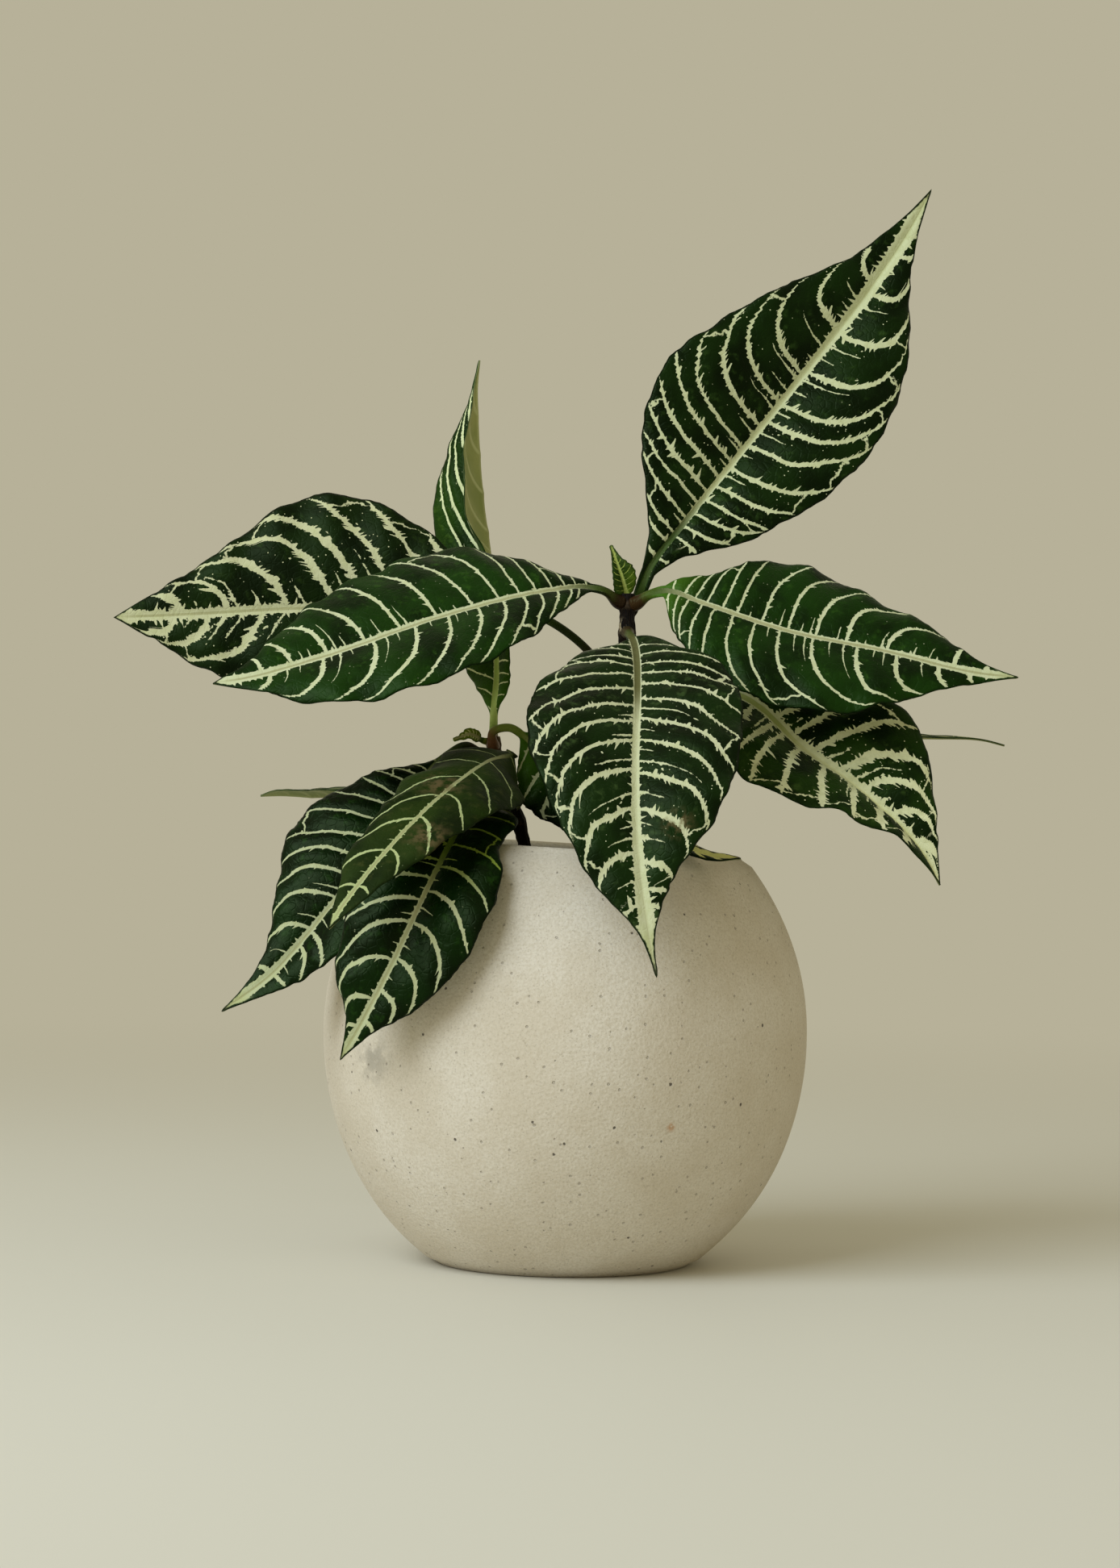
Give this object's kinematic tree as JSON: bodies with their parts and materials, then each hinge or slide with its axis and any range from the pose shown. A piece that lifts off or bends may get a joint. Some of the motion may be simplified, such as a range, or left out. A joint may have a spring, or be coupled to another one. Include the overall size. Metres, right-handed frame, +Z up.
{
  "type": "potted plant",
  "caption": "Round stoneware pot of soil with an aphelandra: two woody stems and broad pointed leaves, dark green with cream veins.",
  "frame": {"origin": "middle of the pot's flat underside, on the surface that it stands on", "axes": "+Z up along the pot's axis, -Y towards the plant's front, +X to the viewer's right"},
  "size_m": [0.3953, 0.2375, 0.4773],
  "materials": {
    "stoneware": "matte, finely sandy",
    "soil": "matte, crumbly",
    "stem": "matte bark",
    "leaf": "glossy",
    "young_leaf": "satin"
  },
  "bodies": {
    "root": {"pot": "stoneware", "soil": "soil", "stem_main": "stem", "stem_side": "stem", "leaf_upper_right": "leaf", "leaf_right": "leaf", "leaf_left": "leaf", "leaf_front": "leaf", "leaf_far_left": "leaf", "leaf_low_right": "leaf", "leaf_back_right": "leaf", "leaf_rim_right": "leaf", "leaf_upright": "leaf", "leaf_side_front": "leaf", "leaf_side_low": "leaf", "leaf_side_left": "leaf", "leaf_side_right": "leaf", "leaf_side_back": "leaf", "young_leaf_top": "young_leaf", "young_leaf_side": "young_leaf"}
  },
  "joints": []
}
